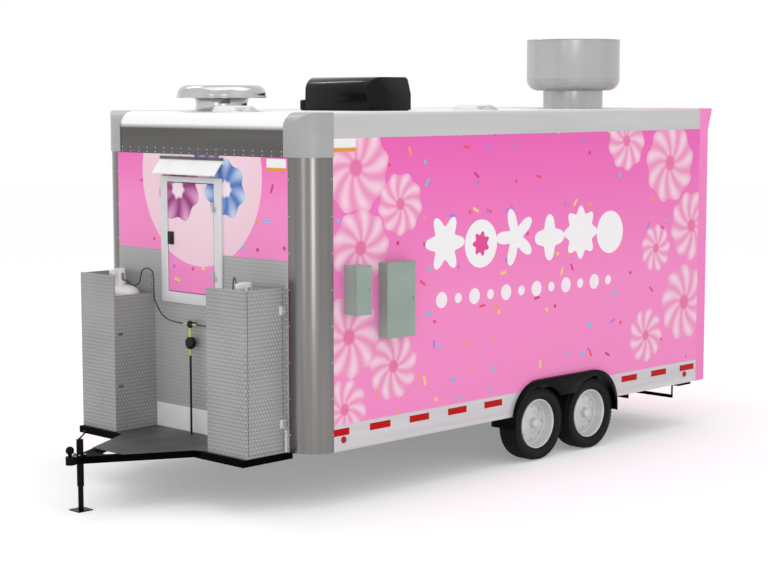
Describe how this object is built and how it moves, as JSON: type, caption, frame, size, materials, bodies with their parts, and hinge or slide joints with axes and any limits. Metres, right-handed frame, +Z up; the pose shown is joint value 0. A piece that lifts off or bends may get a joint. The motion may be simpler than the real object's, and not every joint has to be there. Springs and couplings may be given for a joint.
{
  "type": "food trailer",
  "caption": "Box-bodied concession trailer on a tandem axle, with a serving window, gas cabinets on the tongue, a drop-leg jack and rooftop ventilation.",
  "frame": {"origin": "on the ground, under the middle of the whole trailer", "axes": "+X towards the hitch, +Y the driver's side, +Z up"},
  "size_m": [6.559, 2.815, 3.6733],
  "materials": {
    "body_skin": "printed film over aluminium sheet",
    "bright_trim": "polished sheet",
    "diamond_plate": "treadplate",
    "floor_metal": "treadplate",
    "frame_paint": "satin black",
    "zinc": "zinc plated",
    "deck_paint": "dark grey",
    "white_paint": "white",
    "regulator_metal": "cast body, yellow-green fittings",
    "hose_rubber": "black",
    "box_paint": "grey-green enamel",
    "black_plastic": "moulded",
    "spun_aluminium": "spun",
    "rim_metal": "silver",
    "tyre_rubber": "moulded",
    "window_aluminium": "mill finish",
    "window_glass": "clear float glass"
  },
  "bodies": {
    "trailer": {"air_conditioner": "black_plastic", "breaker_box": "box_paint", "coupler": "frame_paint", "exhaust_fan": "spun_aluminium", "floor": "floor_metal", "front_axle": "frame_paint", "front_header": "bright_trim", "front_wall": "body_skin", "gas_hose_left": "hose_rubber", "gas_hose_right": "hose_rubber", "hatch_visor": "white_paint", "inlet_box": "box_paint", "jack_tube": "frame_paint", "left_cabinet": "diamond_plate", "left_corner_cap": "bright_trim", "left_corner_post": "bright_trim", "left_fascia": "bright_trim", "left_fender": "frame_paint", "left_gas_tank": "white_paint", "left_skirt_front": "bright_trim", "left_skirt_rear": "bright_trim", "left_wall": "body_skin", "main_frame": "frame_paint", "mushroom_vent": "spun_aluminium", "rear_axle": "frame_paint", "rear_frame": "body_skin", "rear_wall": "body_skin", "regulator": "regulator_metal", "right_cabinet": "diamond_plate", "right_corner_cap": "bright_trim", "right_corner_post": "bright_trim", "right_fascia": "bright_trim", "right_fender": "frame_paint", "right_gas_tank": "white_paint", "right_skirt_front": "bright_trim", "right_skirt_rear": "bright_trim", "right_wall": "body_skin", "roof": "white_paint", "serving_frame": "window_aluminium", "serving_glass": "window_glass", "tank_cradle": "frame_paint", "tongue": "frame_paint", "tongue_deck": "deck_paint", "waste_tank": "white_paint"},
    "hatch": {"hatch_door": "white_paint"},
    "left_cabinet_leaf": {"left_cabinet_door": "diamond_plate"},
    "right_cabinet_leaf": {"right_cabinet_door": "diamond_plate"},
    "entry_door": {"rear_door": "body_skin"},
    "awning": {"serving_awning": "body_skin"},
    "shelf": {"serving_shelf": "window_aluminium"},
    "jack_ram": {"jack_leg": "zinc"},
    "wheel_front_left": {"tyre_front_left": "tyre_rubber", "rim_front_left": "rim_metal"},
    "wheel_front_right": {"tyre_front_right": "tyre_rubber", "rim_front_right": "rim_metal"},
    "wheel_rear_left": {"tyre_rear_left": "tyre_rubber", "rim_rear_left": "rim_metal"},
    "wheel_rear_right": {"tyre_rear_right": "tyre_rubber", "rim_rear_right": "rim_metal"}
  },
  "joints": [
    {"name": "front_left_wheel_spin", "type": "hinge", "parent": "trailer", "child": "wheel_front_left", "pos_m": [-0.7455, 1.2051, 0.3164], "axis": [0, 1, 0], "continuous": true},
    {"name": "front_right_wheel_spin", "type": "hinge", "parent": "trailer", "child": "wheel_front_right", "pos_m": [-0.7455, -1.2051, 0.3164], "axis": [0, 1, 0], "continuous": true},
    {"name": "rear_left_wheel_spin", "type": "hinge", "parent": "trailer", "child": "wheel_rear_left", "pos_m": [-1.4635, 1.2051, 0.3164], "axis": [0, 1, 0], "continuous": true},
    {"name": "rear_right_wheel_spin", "type": "hinge", "parent": "trailer", "child": "wheel_rear_right", "pos_m": [-1.4635, -1.2051, 0.3164], "axis": [0, 1, 0], "continuous": true},
    {"name": "jack_slide", "type": "slide", "parent": "trailer", "child": "jack_ram", "axis": [0, 0, 1], "range_m": [-0.1, 0.16]},
    {"name": "hatch_swing", "type": "hinge", "parent": "trailer", "child": "hatch", "pos_m": [1.9825, 0.2025, 2.011], "axis": [0, 0, 1], "range_deg": [0, 100]},
    {"name": "left_cabinet_swing", "type": "hinge", "parent": "trailer", "child": "left_cabinet_leaf", "pos_m": [1.9948, 1.036, 1.021], "axis": [0, 0, 1], "range_deg": [0, 100]},
    {"name": "right_cabinet_swing", "type": "hinge", "parent": "trailer", "child": "right_cabinet_leaf", "pos_m": [1.9948, -1.036, 1.021], "axis": [0, 0, 1], "range_deg": [-100, 0]},
    {"name": "entry_door_swing", "type": "hinge", "parent": "trailer", "child": "entry_door", "pos_m": [-3.2035, 0.42, 1.6], "axis": [0, 0, 1], "range_deg": [-110, 0]},
    {"name": "awning_lift", "type": "hinge", "parent": "trailer", "child": "awning", "pos_m": [-0.0945, -1.304, 2.5], "axis": [1, 0, 0], "range_deg": [-90, 0]},
    {"name": "shelf_fold", "type": "hinge", "parent": "trailer", "child": "shelf", "pos_m": [-0.0945, -1.36, 1.44], "axis": [1, 0, 0], "range_deg": [-90, 0]}
  ]
}
